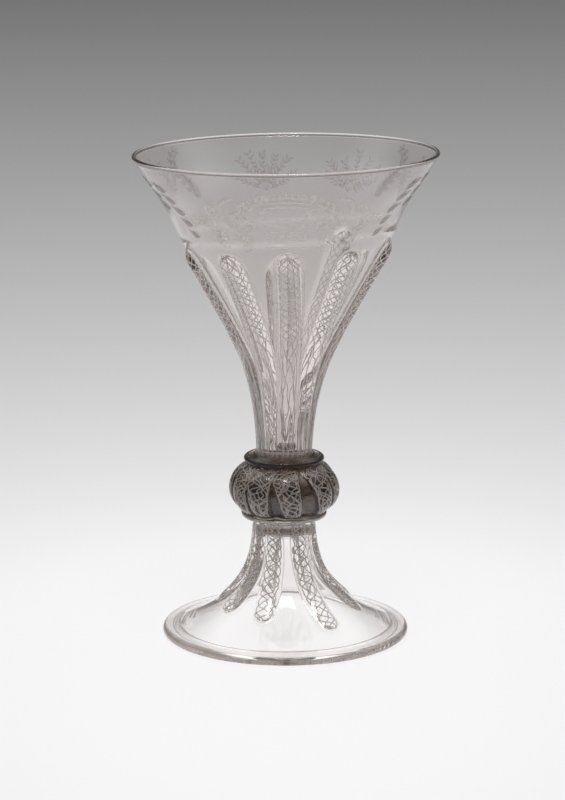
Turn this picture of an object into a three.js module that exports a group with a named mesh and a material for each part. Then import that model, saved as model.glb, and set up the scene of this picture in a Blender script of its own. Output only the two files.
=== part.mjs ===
// A stemmed goblet of thin colourless glass, blown in three parts: a conical bowl with pinched ribs,
// a hollow ribbed knop of smoky glass, and a trumpet foot with a folded rim. Two flat collars join them.
// Millimetres, +Z up. The origin is the middle of the ring that the foot rests on.
import * as THREE from 'three';

// Overall sizes
const overallHeight = 180.7;
const rimRadius = 55.8;
const footRadius = 45.8;

// The stack under the bowl, and the gap that the separate glass pieces keep
const footHeight = 44.3;
const lowerCollarThickness = 2.9;
const knopHeight = 16.7;
const upperCollarThickness = 2.7;
const seatGap = 0.3;

const lowerCollarBase = footHeight + seatGap;
const knopBase = lowerCollarBase + lowerCollarThickness + seatGap;
const upperCollarBase = knopBase + knopHeight + seatGap;
const bowlBase = upperCollarBase + upperCollarThickness + seatGap;

// Bowl. The flares say where along the height each face starts to open, and how gently. The waist is the
// stretch, as shares of the height, where the wall draws in a little, by depth at its middle.
const bowlNeckRadius = 8.6;
const rimWall = 1.2;
const rimBeadRadius = 0.75;
const plainBandHeight = 31.2;
const outerFlare = { start: 0.264, softness: 0.09 };
const wellFlare = { start: 0.179, softness: 0.12 };
const waist = { depth: 0.9, from: 0.73, to: 0.95 };
const wellRadius = 2.2;
const wellFloor = 2.6;

// Bowl ribs. Each row has the compass angle at the neck and at the tip, from the front towards +X, and how far
// the tip ends under the level where the ribs stop, or over it where this is below zero.
const bowlRibs = [
  [-64, -72, 1.5], [-27, -34, 1], [8, 1, 0], [42, 38, 0], [78, 77, -0.7],
  [114, 113, 8], [151, 142, 2.3], [186, 185, 14], [222, 221, 13], [258, 256, 10],
];
const bowlRibWidth = { neck: 7.8, tip: 10 };
const bowlRibHeight = { neck: 1.4, tip: 2.7 };
const bowlRibRounding = 0.08;

// Collars
const upperCollarRadius = 15;
const collarLipInset = 0.6;
const collarLipThickness = 0.8;
const lowerCollarRadius = 16;

// Knop. Its belly is two quarter ellipses, each cut off a little before it closes, where a collar meets it.
const knopBellyRadius = 18.9;
const knopBellyHeight = 6.9;
const knopTopInset = 1.6;
const knopBottomInset = 0.7;
const knopUpperCut = 1.5;
const knopLowerCut = 1.4;
const knopWall = 1.6;

// Knop ribs. Each row has the compass angle at the bottom and at the top. They stop a share of the knop's
// height short of both its ends, and are narrower there.
const knopRibs = [
  [-55, -63], [-28, -33], [11, 0], [56, 46], [86, 80],
  [122, 114], [157, 149], [192, 184], [227, 219], [262, 254],
];
const knopRibWidth = { bottom: 7.4, top: 8.4 };
const knopRibHeight = { bottom: 1.6, top: 1.7 };
const knopRibEndShare = 0.06;
const knopRibTaper = 0.12;

// Foot
const footNeckRadius = 10.9;
const footSweep = 3.1;
const footWall = 1.7;
const footRimBead = 1.8;
const foldWidth = 6.7;
const foldStep = 0.7;
const foldSlope = 2;
const footCapThickness = 2.8;
const footDomeHeight = 3;

// Foot ribs. Each row has the compass angle at the neck and at the tip, and the radius where the tip ends.
const footRibs = [
  [-86, -88, 25.5], [-58, -59, 26.5], [-20, -19, 27.5], [28, 34, 32], [78, 80, 28.5],
  [116, 116, 27], [150, 150, 28], [196, 198, 28], [236, 235, 26.5],
];
const footRibWidth = { neck: 5.2, tip: 7.8 };
const footRibHeight = { neck: 0.6, arch: 0.9, tip: 0.8 };
const footRibRounding = 0.16;

// Mesh fineness. Rings on the foot's inner face are bunched towards its rim by a power.
const roundSides = 48;
const profileSteps = 18;
const knopSteps = 9;
const footInnerSteps = 8;
const footInnerBunching = 1.6;
const rimBeadSteps = 10;
const collarBeadSteps = 6;
const footBeadSteps = 7;
const smallArcSteps = 4;
const ribSteps = 8;
const ribCrestPoints = 5;
const ribBasePoints = 4;

const clearGlass = { color: 0xe6e3df, roughness: 0.04, metalness: 0 };
const threadedGlass = { color: 0xcfcbc8, roughness: 0.1, metalness: 0 };
const smokyGlass = { color: 0x2b2620, roughness: 0.06, metalness: 0 };

const fullTurn = 360;
const { clamp, lerp, degToRad } = THREE.MathUtils;

// A ramp that is flat before start, rises evenly after it, and runs from 0 to 1 as x does
function softRamp(x, { start, softness }) {
  const rise = (v) => Math.log(1 + Math.exp((v - start) / softness));
  return (rise(x) - rise(0)) / (rise(1) - rise(0));
}

const rimLineRadius = rimRadius - rimBeadRadius;
const beadHeight = overallHeight - rimBeadRadius;
const bowlRibTop = overallHeight - plainBandHeight;
const upperCollarLipRadius = upperCollarRadius - collarLipInset;

function waistDraw(s) {
  const share = clamp((s - waist.from) / (waist.to - waist.from), 0, 1);
  return waist.depth * Math.sin(Math.PI * share) ** 2;
}

function bowlOuterRadius(z) {
  const s = (z - bowlBase) / (beadHeight - bowlBase);
  return lerp(bowlNeckRadius, rimLineRadius + rimWall / 2, softRamp(s, outerFlare)) - waistDraw(s);
}

function bowlInnerRadius(z) {
  const s = (z - bowlBase) / (beadHeight - bowlBase);
  return lerp(wellRadius, rimLineRadius - rimWall / 2, softRamp(s, wellFlare)) - waistDraw(s);
}

function knopRadius(z) {
  const rise = z - knopBase - knopBellyHeight;
  const upper = rise > 0;
  const end = upper ? knopHeight - knopBellyHeight : knopBellyHeight;
  const reach = end + (upper ? knopUpperCut : knopLowerCut);
  const endRadius = upper ? upperCollarLipRadius - knopTopInset : lowerCollarRadius - knopBottomInset;
  const fullness = (v) => Math.sqrt(1 - (v / reach) ** 2);
  return lerp(endRadius, knopBellyRadius, (fullness(rise) - fullness(end)) / (1 - fullness(end)));
}

function footOuterRadius(z) {
  const depth = (footHeight - z) / (footHeight - footRimBead);
  return footNeckRadius + (footRadius - footRimBead / 2 - footNeckRadius) * depth ** footSweep;
}

// A point on a surface of revolution, with its outward normal in the profile plane
function surfaceAt(radiusAt, z) {
  const dz = 0.01;
  const slope = (radiusAt(z + dz) - radiusAt(z - dz)) / (2 * dz);
  const length = Math.hypot(1, slope);
  return { r: radiusAt(z), z, nr: 1 / length, nz: -slope / length };
}

// Points along a profile between two levels, bunched towards the second one by power
function profile(radiusAt, from, to, steps, power = 1) {
  const points = [];
  for (let i = 0; i <= steps; i++) {
    const z = lerp(from, to, 1 - (1 - i / steps) ** power);
    points.push(new THREE.Vector2(radiusAt(z), z));
  }
  return points;
}

// Inner points of an arc, its two ends left out
function arc(r, z, radiusR, radiusZ, fromDeg, toDeg, steps) {
  const points = [];
  for (let i = 1; i < steps; i++) {
    const angle = degToRad(lerp(fromDeg, toDeg, i / steps));
    points.push(new THREE.Vector2(r + radiusR * Math.cos(angle), z + radiusZ * Math.sin(angle)));
  }
  return points;
}

// Turns a profile drawn upwards on the outside and downwards on the inside into a solid about Z
function turned(points) {
  const geometry = new THREE.LatheGeometry(points, roundSides);
  geometry.rotateX(Math.PI / 2);
  return geometry;
}

function bowlGeometry() {
  const floor = bowlBase + wellFloor;
  const wellTop = floor + wellRadius;
  const underBead = beadHeight - rimBeadRadius;
  return turned([
    new THREE.Vector2(0, bowlBase),
    ...profile(bowlOuterRadius, bowlBase, underBead, profileSteps),
    ...arc(rimLineRadius, beadHeight, rimBeadRadius, rimBeadRadius, -60, 240, rimBeadSteps),
    ...profile(bowlInnerRadius, underBead, wellTop, profileSteps),
    ...arc(0, wellTop, bowlInnerRadius(wellTop), wellRadius, 0, -90, smallArcSteps),
    new THREE.Vector2(0, floor),
  ]);
}

function upperCollarGeometry() {
  const lipBead = collarLipThickness / 2;
  const lipCentre = upperCollarLipRadius - lipBead;
  const ringBase = upperCollarBase + collarLipThickness;
  const ringBead = (upperCollarThickness - collarLipThickness) / 2;
  const top = ringBase + 2 * ringBead;
  return turned([
    new THREE.Vector2(0, upperCollarBase),
    new THREE.Vector2(lipCentre, upperCollarBase),
    ...arc(lipCentre, upperCollarBase + lipBead, lipBead, lipBead, -90, 60, smallArcSteps),
    new THREE.Vector2(lipCentre, ringBase),
    ...arc(upperCollarRadius - ringBead, ringBase + ringBead, ringBead, ringBead, -90, 90, collarBeadSteps),
    new THREE.Vector2(upperCollarRadius - ringBead, top),
    new THREE.Vector2(0, top),
  ]);
}

function lowerCollarGeometry() {
  const bead = lowerCollarThickness / 2;
  const flatRadius = lowerCollarRadius - bead;
  const top = lowerCollarBase + lowerCollarThickness;
  return turned([
    new THREE.Vector2(0, lowerCollarBase),
    new THREE.Vector2(flatRadius, lowerCollarBase),
    ...arc(flatRadius, lowerCollarBase + bead, bead, bead, -90, 90, collarBeadSteps),
    new THREE.Vector2(flatRadius, top),
    new THREE.Vector2(0, top),
  ]);
}

// The knop is open at both ends, where the collars close it
function knopGeometry() {
  const top = knopBase + knopHeight;
  const inner = (z) => knopRadius(z) - knopWall;
  const outside = profile(knopRadius, knopBase, top, knopSteps);
  const inside = profile(inner, top, knopBase, knopSteps);
  return turned([...outside, ...inside, outside[0].clone()]);
}

// The foot is hollow up to a dome under its top. Its rim is folded under, so it is thicker past the fold line.
function footGeometry() {
  const foldRadius = footRadius - foldWidth;
  const beadCentre = footRadius - footRimBead;
  const domeTop = footHeight - footCapThickness;
  const domeBase = domeTop - footDomeHeight;
  const inner = (z) => footOuterRadius(z) - footWall / surfaceAt(footOuterRadius, z).nr;
  const foldTop = 2 * footRimBead + footWall;
  return turned([
    new THREE.Vector2(0, domeTop),
    ...arc(0, domeBase, inner(domeBase), footDomeHeight, 90, 0, smallArcSteps),
    ...profile(inner, domeBase, foldTop, footInnerSteps, footInnerBunching),
    new THREE.Vector2(foldRadius, foldStep),
    new THREE.Vector2(foldRadius + foldSlope, 0),
    new THREE.Vector2(beadCentre, 0),
    ...arc(beadCentre, footRimBead, footRimBead, footRimBead, -90, 140, footBeadSteps),
    ...profile(footOuterRadius, 2 * footRimBead, footHeight, profileSteps),
    new THREE.Vector2(0, footHeight),
  ]);
}

// A rib that lies seatGap off a surface of revolution. Each station gives its base point on the surface, its
// compass angle, and the rib's width and height there. room is half the angle that the rib may fill.
function ribGeometry(stations, room) {
  const positions = [];
  const ringSize = ribBasePoints + ribCrestPoints;
  for (const { base, angle, width, height } of stations) {
    const lift = base.r + base.nr * seatGap;
    const half = Math.min(width / 2 / lift, room - seatGap / 2 / base.r);
    const place = (across, distance) => {
      const r = base.r + base.nr * distance;
      const turn = angle + across * half;
      positions.push(r * Math.sin(turn), -r * Math.cos(turn), base.z + base.nz * distance);
    };
    for (let i = 0; i < ribBasePoints; i++) {
      place(1 - (2 * i) / (ribBasePoints - 1), seatGap);
    }
    for (let i = 1; i <= ribCrestPoints; i++) {
      const across = -Math.cos((Math.PI * i) / (ribCrestPoints + 1));
      place(across, seatGap + height * Math.sqrt(1 - across ** 2));
    }
  }
  const indices = [];
  const last = stations.length - 1;
  for (let ring = 0; ring < last; ring++) {
    for (let i = 0; i < ringSize; i++) {
      const a = ring * ringSize + i;
      const b = ring * ringSize + ((i + 1) % ringSize);
      indices.push(a, b, a + ringSize, b, b + ringSize, a + ringSize);
    }
  }
  for (let i = 1; i < ringSize - 1; i++) {
    indices.push(0, i + 1, i);
    indices.push(last * ringSize, last * ringSize + i, last * ringSize + i + 1);
  }
  const geometry = new THREE.BufferGeometry();
  geometry.setAttribute('position', new THREE.Float32BufferAttribute(positions, 3));
  geometry.setIndex(indices);
  geometry.computeVertexNormals();
  return geometry;
}

// How far along a rib each station lies, from 0 to 1, with the last ones closing into the rounded tip
function ribStations(rounding) {
  const stations = [];
  for (let i = 0; i < ribSteps; i++) {
    stations.push({ along: (i / ribSteps) * (1 - rounding), swell: 1 });
  }
  for (const turn of [0, 30, 55, 75]) {
    const angle = degToRad(turn);
    stations.push({ along: 1 - rounding * (1 - Math.sin(angle)), swell: Math.cos(angle) });
  }
  return stations;
}

// Half the smallest angle between rib i and its neighbours at either end, so that none reaches another's half
function ribRoom(ribs, i) {
  const count = ribs.length;
  const spans = [];
  for (const end of [0, 1]) {
    const angleOf = (k) => ribs[(k + count) % count][end];
    spans.push(angleOf(i) - angleOf(i - 1), angleOf(i + 1) - angleOf(i));
  }
  return degToRad(Math.min(...spans.map((span) => (span + fullTurn) % fullTurn)) / 2);
}

function bowlRibGeometry([neckAngle, tipAngle, tipDrop], room) {
  const stations = ribStations(bowlRibRounding).map(({ along, swell }) => ({
    base: surfaceAt(bowlOuterRadius, lerp(bowlBase + seatGap, bowlRibTop - tipDrop, along)),
    angle: degToRad(lerp(neckAngle, tipAngle, along)),
    width: swell * lerp(bowlRibWidth.neck, bowlRibWidth.tip, along),
    height: swell * lerp(bowlRibHeight.neck, bowlRibHeight.tip, along),
  }));
  return ribGeometry(stations, room);
}

function knopRibGeometry([bottomAngle, topAngle], room) {
  const stations = [];
  for (let i = 0; i <= knopSteps; i++) {
    const along = i / knopSteps;
    const level = lerp(knopRibEndShare, 1 - knopRibEndShare, along);
    const swell = Math.sqrt(Math.sin(Math.PI * lerp(knopRibTaper, 1 - knopRibTaper, along)));
    stations.push({
      base: surfaceAt(knopRadius, knopBase + knopHeight * level),
      angle: degToRad(lerp(bottomAngle, topAngle, along)),
      width: swell * lerp(knopRibWidth.bottom, knopRibWidth.top, along),
      height: swell * lerp(knopRibHeight.bottom, knopRibHeight.top, along),
    });
  }
  return ribGeometry(stations, room);
}

// The level at which the foot's outer face reaches a radius
function footLevel(radius) {
  const share = (radius - footNeckRadius) / (footRadius - footRimBead / 2 - footNeckRadius);
  return footHeight - (footHeight - footRimBead) * share ** (1 / footSweep);
}

function footRibGeometry([neckAngle, tipAngle, tipRadius], room) {
  const top = footHeight - seatGap;
  const arched = (along) => footRibHeight.arch * Math.sin(Math.PI * along);
  const stations = ribStations(footRibRounding).map(({ along, swell }) => ({
    base: surfaceAt(footOuterRadius, lerp(top, footLevel(tipRadius), along)),
    angle: degToRad(lerp(neckAngle, tipAngle, along)),
    width: swell * lerp(footRibWidth.neck, footRibWidth.tip, along),
    height: swell * (lerp(footRibHeight.neck, footRibHeight.tip, along) + arched(along)),
  }));
  return ribGeometry(stations.reverse(), room);
}

const goblet = new THREE.Group();

function addPiece(name, geometry, finish) {
  const mesh = new THREE.Mesh(geometry, new THREE.MeshStandardMaterial(finish));
  mesh.name = name;
  goblet.add(mesh);
}

function addRibs(prefix, ribs, geometryOf) {
  ribs.forEach((rib, i) => {
    addPiece(`${prefix}_${i + 1}`, geometryOf(rib, ribRoom(ribs, i)), threadedGlass);
  });
}

addPiece('bowl', bowlGeometry(), clearGlass);
addPiece('upper_collar', upperCollarGeometry(), smokyGlass);
addPiece('knop', knopGeometry(), smokyGlass);
addPiece('lower_collar', lowerCollarGeometry(), smokyGlass);
addPiece('foot', footGeometry(), clearGlass);
addRibs('bowl_rib', bowlRibs, bowlRibGeometry);
addRibs('knop_rib', knopRibs, knopRibGeometry);
addRibs('foot_rib', footRibs, footRibGeometry);

export default goblet;
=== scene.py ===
from math import acos, atan2, cos, hypot, pi, radians, sin

import bpy
import numpy as np
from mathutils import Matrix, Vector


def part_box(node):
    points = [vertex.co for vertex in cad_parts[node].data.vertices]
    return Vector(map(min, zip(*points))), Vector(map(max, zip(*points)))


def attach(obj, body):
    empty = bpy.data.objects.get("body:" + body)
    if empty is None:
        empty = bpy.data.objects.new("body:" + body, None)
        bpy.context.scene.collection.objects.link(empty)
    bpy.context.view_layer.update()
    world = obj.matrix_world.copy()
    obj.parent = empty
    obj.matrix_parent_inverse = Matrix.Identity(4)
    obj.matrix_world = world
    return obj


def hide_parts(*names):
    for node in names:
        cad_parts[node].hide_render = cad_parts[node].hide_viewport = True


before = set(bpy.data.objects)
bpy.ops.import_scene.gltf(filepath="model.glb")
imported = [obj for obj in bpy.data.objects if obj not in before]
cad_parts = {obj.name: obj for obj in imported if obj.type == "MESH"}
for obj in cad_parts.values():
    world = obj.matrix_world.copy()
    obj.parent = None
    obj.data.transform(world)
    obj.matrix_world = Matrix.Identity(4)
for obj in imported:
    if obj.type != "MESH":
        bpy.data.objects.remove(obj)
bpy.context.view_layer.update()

# A stemmed goblet of blown glass. Lengths are in millimetres until a mesh is made, which is in metres.
# Compass angles run from the front (-Y) towards +X.
mm = 0.001
print("frame loaded:", len(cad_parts), "nodes")


def nodeSpan(name):
    low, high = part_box(name)
    return low / mm, high / mm


bowlLow, bowlHigh = nodeSpan("bowl")
knopLow, knopHigh = nodeSpan("knop")
footHigh = nodeSpan("foot")[1]
upperCollarLow, upperCollarHigh = nodeSpan("upper_collar")
lowerCollarLow, lowerCollarHigh = nodeSpan("lower_collar")

seat = {
    "gap": 0.3,          # clearance between stacked CAD nodes, closed here because the real pieces are fused
    "sink": 0.12,        # how far a glass end reaches into the dark collar that it is fused to
    "stemShift": -0.65,  # how far the hand-made stem stands off the axis
    "stemLevel": 56.0,
    "stemReach": 40.0,
    "rimDrop": 1.4,      # how much lower the rim's left side is than its right
}


def lerp(a, b, t):
    return a + (b - a) * t


def smooth(t):
    t = np.clip(t, 0, 1)
    return t * t * (3 - 2 * t)


def calm(z, low, high, spans):  # 0 at both ends of a wall and 1 between, so that waviness dies out
    return smooth((z - low) / spans[0]) * smooth((high - z) / spans[1])


def wrapped(turn):
    return (turn + pi) % (2 * pi) - pi


def placed(points):  # hand-made lean of the stem and tilt of the rim, then metres
    points = np.array(points, dtype=float)
    high = np.clip((points[..., 2] - bowlLow.z) / (bowlHigh.z - bowlLow.z), 0, 1) ** 2
    points[..., 2] -= high * seat["rimDrop"] / 2 * (1 - points[..., 0] / bowlHigh.x)
    away = (points[..., 2] - seat["stemLevel"]) / seat["stemReach"]
    points[..., 0] += seat["stemShift"] * np.exp(-away ** 2)
    return points * mm


def waver(turn, z, amount, seed, length=60.0):  # slow unevenness of a blown wall, the same each run
    rng = np.random.default_rng(seed)
    total = 0 * turn + 0 * z
    for k in (1, 2, 3, 4, 6):
        phase, drift = rng.uniform(0, 2 * pi), rng.uniform(-1, 1)
        total = total + np.cos(k * turn + phase + drift * 2 * pi * z / length) / (k + 1)
    return amount * total


# Meshes of revolution. A row is a ring of points, or one point on the axis.
def ring(r, z, turn):
    r, z = np.broadcast_to(r, turn.shape), np.broadcast_to(z, turn.shape)
    return np.stack([r * np.sin(turn), -r * np.cos(turn), z], 1)


def pole(z):
    return np.array([[0.0, 0.0, z]])


def compass(sides):
    return np.arange(sides) * 2 * pi / sides


def shares(steps):  # evenly from 0 to 1
    return np.arange(steps + 1) / steps


def arc(r, z, wide, high, angles, turn):  # rows that follow part of an ellipse in section
    return [ring(r + wide * cos(angle), z + high * sin(angle), turn) for angle in angles]


def loft(rows, closed=False):
    starts = np.cumsum([0] + [len(row) for row in rows])
    faces = []
    pairs = [(i, i + 1) for i in range(len(rows) - 1)] + ([(len(rows) - 1, 0)] if closed else [])
    for i, j in pairs:
        a, b = starts[i], starts[j]
        step = np.arange(max(len(rows[i]), len(rows[j])))
        following = (step + 1) % len(step)
        if len(rows[i]) == 1:
            corners = [a + 0 * step, b + following, b + step]
        elif len(rows[j]) == 1:
            corners = [a + step, a + following, b + 0 * step]
        else:
            corners = [a + step, a + following, b + following, b + step]
        faces += np.stack(corners, 1).tolist()
    return np.concatenate(rows), faces


def joined(parts):
    points, faces, start = [], [], 0
    for partPoints, partFaces in parts:
        points.append(partPoints)
        faces += [[start + i for i in face] for face in partFaces]
        start += len(partPoints)
    return np.concatenate(points), faces


def finished(piece, nodes=()):
    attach(piece, "root")
    if nodes:
        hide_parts(*nodes)
    return piece


def linked(name, data):
    item = bpy.data.objects.new(name, data)
    bpy.context.scene.collection.objects.link(item)
    return item


def newPiece(name, points, faces, material, edges=(), slot=None, nodes=()):
    mesh = bpy.data.meshes.new(name)
    mesh.from_pydata(placed(points).tolist(), list(edges), faces)
    mesh.update()
    if faces:
        mesh.shade_smooth()
        mesh.materials.append(material)
    piece = linked(name, mesh)
    if slot:
        finished(piece, nodes)
    return piece


# Ribs. Each one's course is read from its CAD node, whose compass angle changes evenly with height.
def ribCourse(node):
    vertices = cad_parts[node].data.vertices
    points = np.zeros(len(vertices) * 3)
    vertices.foreach_get("co", points)
    points = points.reshape(-1, 3) / mm
    turn = np.arctan2(points[:, 0], -points[:, 1])
    middle = atan2(np.sin(turn).mean(), np.cos(turn).mean())
    slope, start = np.polyfit(points[:, 2], wrapped(turn - middle), 1)
    return {
        "node": node,
        "low": points[:, 2].min(),
        "high": points[:, 2].max(),
        "reach": np.hypot(points[:, 0], points[:, 1]).max(),
        "turnAt": lambda z: middle + start + slope * z,
    }


def coursesOf(prefix):
    names = [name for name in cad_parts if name.startswith(prefix)]
    return [ribCourse(name) for name in sorted(names, key=lambda name: int(name.split("_")[-1]))]


bowlCourses, knopCourses, footCourses = coursesOf("bowl_rib_"), coursesOf("knop_rib_"), coursesOf("foot_rib_")


def crest(shape, along, reach):  # height of a rib's glass; reach is 0 on its middle line and 1 at its edge
    return lerp(*shape["height"], along) * (1 - reach ** shape["flatness"]) ** shape["edge"]


def halfBreadth(shape, along):
    return lerp(*shape["width"], along) / 2


def pastTip(here, end, length):  # 0 up to a rib's tip and 1 at its end
    return np.clip((here - end) / length + 1, 0, 1)


def ridges(turn, z, radius, courses, shape, alongAt, pastAt):  # height of the fused glass ribs over a wall
    total = 0 * turn + 0 * z
    for course in courses:
        along = np.clip(alongAt(course), 0, 1)
        across = wrapped(turn - course["turnAt"](z)) * radius / halfBreadth(shape, along)
        reach = np.clip(np.hypot(across, np.clip(pastAt(course), 0, None)), 0, 1)
        total = total + crest(shape, along, reach) ** shape["blend"]
    return total ** (1 / shape["blend"])


def slopeOf(radiusAt, z):
    near = 0.01
    return (radiusAt(z + near) - radiusAt(z - near)) / (2 * near)


def raised(radiusAt, z, height, turn):  # points of a surface of revolution, lifted along its normal
    slope = slopeOf(radiusAt, z)
    length = np.hypot(1, slope)
    return ring(radiusAt(z) + height / length, z - height * slope / length, turn)


def facingOf(radiusAt, z, turn):  # the outward normal there
    slope = slopeOf(radiusAt, z)
    length = np.hypot(1, slope)
    return np.stack([np.sin(turn) / length, -np.cos(turn) / length, 0 * turn - slope / length], -1)


# Node trees
def setInputs(tree, node, values):  # a value that is a socket is linked
    for key, value in values.items():
        if isinstance(value, bpy.types.NodeSocket):
            tree.links.new(value, node.inputs[key])
        else:
            node.inputs[key].default_value = value
    return node


def addNode(tree, kind, values=None, output=0, **settings):
    node = tree.nodes.new(kind)
    for key, value in settings.items():
        setattr(node, key, value)
    return setInputs(tree, node, values or {}).outputs[output]


def newGroup(name, kind, inputs, outputs):
    tree = bpy.data.node_groups.new(name, kind)
    for direction, sockets in (("INPUT", inputs), ("OUTPUT", outputs)):
        for label, socketKind, default in sockets:
            kindName = "NodeSocket" + socketKind
            socket = tree.interface.new_socket(name=label, in_out=direction, socket_type=kindName)
            if default is not None:
                socket.default_value = default
    return tree, tree.nodes.new("NodeGroupInput").outputs, tree.nodes.new("NodeGroupOutput")


def maths(tree, operation, *values):
    return addNode(tree, "ShaderNodeMath", dict(enumerate(values)), operation=operation)


def times(tree, first, second):
    return maths(tree, "MULTIPLY", first, second)


def vectorMaths(tree, operation, *values):
    keys = (0, "Scale") if operation == "SCALE" else (0, 1)
    output = "Value" if operation == "DOT_PRODUCT" else "Vector"
    return addNode(tree, "ShaderNodeVectorMath", dict(zip(keys, values)), output, operation=operation)


def mixed(tree, share, first, second):
    return addNode(tree, "ShaderNodeMix", {"Factor": share, 6: first, 7: second}, 2, data_type="RGBA")


def ramp(tree, share, stops):
    colour = addNode(tree, "ShaderNodeValToRGB", {"Fac": share})
    marks = colour.node.color_ramp.elements
    while len(marks) < len(stops):
        marks.new(0.5)
    for mark, (place, tint) in zip(marks, stops):
        mark.position, mark.color = place, tint
    return colour


def separated(tree, vector):
    return addNode(tree, "ShaderNodeSeparateXYZ", {0: vector}).node.outputs


def objectPlace(tree):
    return tree.nodes.new("ShaderNodeTexCoord").outputs["Object"]


def newMaterial(name):
    material = bpy.data.materials.new(name)
    material.use_nodes = True
    tree = material.node_tree
    return material, tree, tree.nodes["Principled BSDF"], tree.nodes["Material Output"]


# Glass. Every glass shares one group, which makes the cords and the film that blown glass has.
def striaeGroup():
    tree, source, result = newGroup("glassStriae", "ShaderNodeTree", (
        ("Scale", "Float", 40.0), ("Stretch", "Float", 0.2),
        ("Light Tint", "Color", (1, 1, 1, 1)), ("Deep Tint", "Color", (0.9, 0.9, 0.9, 1)),
        ("Least Roughness", "Float", 0.0), ("Most Roughness", "Float", 0.03),
    ), (("Tint", "Color", None), ("Roughness", "Float", None), ("Height", "Float", None)))
    place = objectPlace(tree)
    stretch = addNode(tree, "ShaderNodeCombineXYZ", {"X": 1.0, "Y": 1.0, "Z": source["Stretch"]})
    cords = addNode(tree, "ShaderNodeTexNoise", {
        "Vector": vectorMaths(tree, "MULTIPLY", place, stretch), "Scale": source["Scale"],
        "Detail": 2.0, "Distortion": 0.6,
    })
    film = addNode(tree, "ShaderNodeTexNoise", {"Vector": place, "Scale": source["Scale"], "Detail": 4.0})
    rough = addNode(tree, "ShaderNodeMapRange", {
        "Value": film, "From Min": 0.35, "From Max": 0.7,
        "To Min": source["Least Roughness"], "To Max": source["Most Roughness"],
    })
    tint = mixed(tree, cords, source["Light Tint"], source["Deep Tint"])
    setInputs(tree, result, {"Tint": tint, "Roughness": rough, "Height": cords})
    return tree


striae = striaeGroup()


def glassMaterial(name, look):
    material, tree, shader, output = newMaterial(name)
    group = addNode(tree, "ShaderNodeGroup", node_tree=striae).node
    setInputs(tree, group, {key: look[key] for key in group.inputs.keys()})
    bump = addNode(tree, "ShaderNodeBump", {
        "Strength": look["bump"], "Distance": look["bumpDepth"] * mm, "Height": group.outputs["Height"],
    })
    setInputs(tree, shader, {
        "Base Color": group.outputs["Tint"], "Roughness": group.outputs["Roughness"],
        "Normal": bump, "IOR": look["ior"], "Transmission Weight": look["transmission"],
    })
    values = {"Color": look["absorption"], "Density": look["density"]}
    setInputs(tree, output, {"Volume": addNode(tree, "ShaderNodeVolumeAbsorption", values)})
    return material


clearLook = {
    "Scale": 45.0, "Stretch": 0.25, "Light Tint": (0.998, 0.988, 0.98, 1),
    "Deep Tint": (0.98, 0.965, 0.955, 1), "Least Roughness": 0.0, "Most Roughness": 0.02, "bump": 0.25,
    "bumpDepth": 0.12, "ior": 1.5, "transmission": 1.0, "absorption": (0.68, 0.6, 0.55, 1), "density": 9.0,
}
bowlLook = {
    **clearLook, "Light Tint": (0.963, 0.943, 0.936, 1), "Deep Tint": (0.933, 0.91, 0.897, 1),
    "density": 50.0,
}
collarLook = {
    **clearLook, "Scale": 140.0, "Stretch": 1.8, "Light Tint": (1, 0.97, 0.94, 1),
    "Deep Tint": (0.66, 0.59, 0.52, 1), "Most Roughness": 0.06, "bump": 0.6, "bumpDepth": 0.35,
    "absorption": (0.36, 0.22, 0.08, 1), "density": 230.0,
}
paleCollarLook = {
    **collarLook, "Light Tint": (1, 0.99, 0.975, 1), "Deep Tint": (0.93, 0.89, 0.85, 1), "density": 12.0,
}
bulbLook = {**collarLook, "absorption": (0.31, 0.16, 0.02, 1), "density": 1000.0}
clearGlass = glassMaterial("clearGlass", clearLook)
bowlGlass = glassMaterial("bowlGlass", bowlLook)
collarGlass = glassMaterial("collarGlass", collarLook)
paleCollarGlass = glassMaterial("paleCollarGlass", paleCollarLook)
bulbGlass = glassMaterial("bulbGlass", bulbLook)


# Opaque threads and engraving, mottled from dark to light
def threadMaterial(name, look):
    material, tree, shader, output = newMaterial(name)
    values = {"Vector": objectPlace(tree), "Scale": look["scale"], "Detail": 3.0}
    noise = addNode(tree, "ShaderNodeTexNoise", values)
    least, most = look["roughness"]
    rough = addNode(tree, "ShaderNodeMapRange", {"Value": noise, "To Min": least, "To Max": most})
    colour = ramp(tree, noise, list(zip(look["marks"], (look["dark"], look["light"]))))
    setInputs(tree, shader, {"Base Color": colour, "Roughness": rough, "Alpha": look["alpha"]})
    return material


threadLook = {
    "scale": 900.0, "dark": (0.79, 0.8, 0.81, 1), "light": (0.9, 0.91, 0.92, 1), "roughness": (0.35, 0.6),
    "marks": (0.3, 0.7), "alpha": 1.0,
}
engravedLook = {**threadLook, "scale": 1500.0, "roughness": (0.6, 0.9)}
whiteThread = threadMaterial("whiteThread", threadLook)
footThread = threadMaterial("footThread", {
    **threadLook, "dark": (0.6, 0.57, 0.55, 1), "light": (0.82, 0.785, 0.755, 1), "roughness": (0.4, 0.65),
})
dullThread = threadMaterial("dullThread", {
    **threadLook, "scale": 700.0, "dark": (0.55, 0.51, 0.48, 1), "light": (0.84, 0.79, 0.75, 1),
})
engravedMatt = threadMaterial("engravedMatt", {
    **engravedLook, "dark": (0.62, 0.59, 0.57, 1), "light": (0.92, 0.9, 0.88, 1), "alpha": 0.26,
})
# The same engraving as engravedMatt, coloured darker: painted shade on the strokes at the sides and behind
# the bowl.
engravedShaded = threadMaterial("engravedShaded", {
    **engravedLook, "dark": (0.2, 0.175, 0.16, 1), "light": (0.36, 0.33, 0.31, 1), "alpha": 0.17,
})
print("materials made")


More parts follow.
